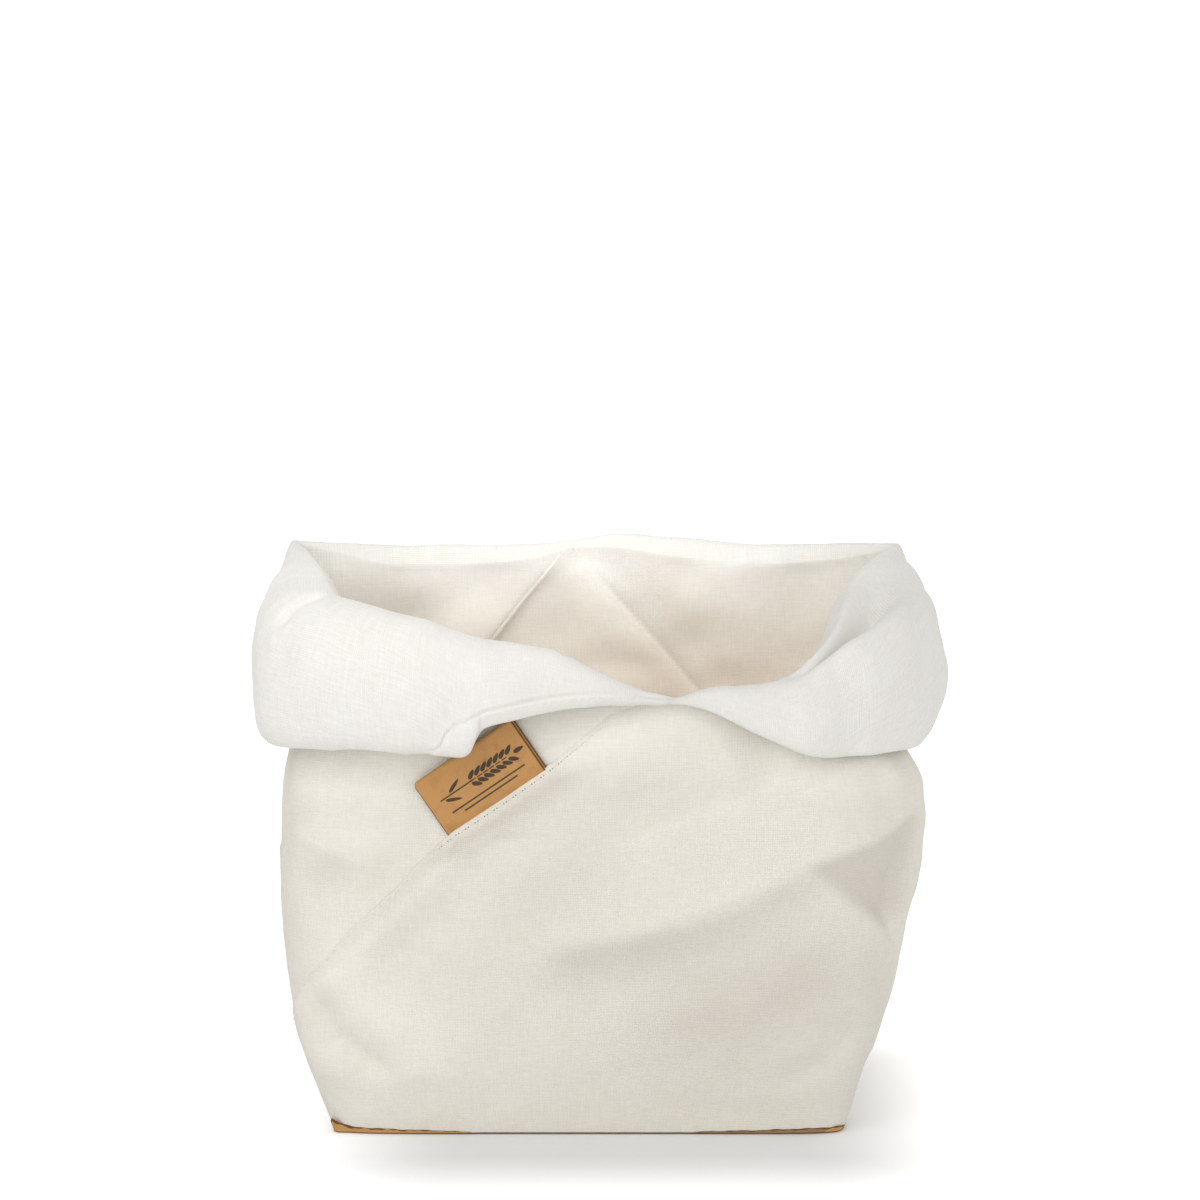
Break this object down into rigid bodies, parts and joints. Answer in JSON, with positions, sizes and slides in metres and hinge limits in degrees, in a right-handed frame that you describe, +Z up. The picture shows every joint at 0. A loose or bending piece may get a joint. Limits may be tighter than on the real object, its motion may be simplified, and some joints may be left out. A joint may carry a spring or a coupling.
{
  "type": "bread bag",
  "caption": "Soft linen bread bag on a flat paper base, wrapped over at the front, its top rolled outward into a soft cuff, with a folded paper label in the seam.",
  "frame": {"origin": "centre of the underside of the paper base", "axes": "+Z up, +X to the right as seen from the front, the front with the label towards -Y"},
  "size_m": [0.2411, 0.202, 0.1892],
  "materials": {
    "linen": "matt plain weave",
    "base_paper": "matt washable paper, leathery",
    "label_paper": "matt washable paper, leathery",
    "thread": "matt thread"
  },
  "bodies": {
    "bag": {"paper_base": "base_paper", "left_linen_panel": "linen", "right_linen_panel": "linen", "front_seam_thread": "thread", "back_seam_thread": "thread", "base_seam_thread": "thread"},
    "cuff": {"left_cuff": "linen", "right_cuff": "linen", "left_hem_thread": "thread", "right_hem_thread": "thread"},
    "label": {"paper_label": "label_paper"}
  },
  "joints": [
    {"name": "cuff_lift", "type": "slide", "parent": "bag", "child": "cuff", "axis": [0, 0, 1], "range_m": [0, 0.025]},
    {"name": "label_flex", "type": "hinge", "parent": "bag", "child": "label", "pos_m": [-0.03053, -0.08266, 0.11676], "axis": [0.8284, 0.0262, 0.5595], "range_deg": [0, 14], "stiffness_Nm_per_rad": 0.004}
  ]
}
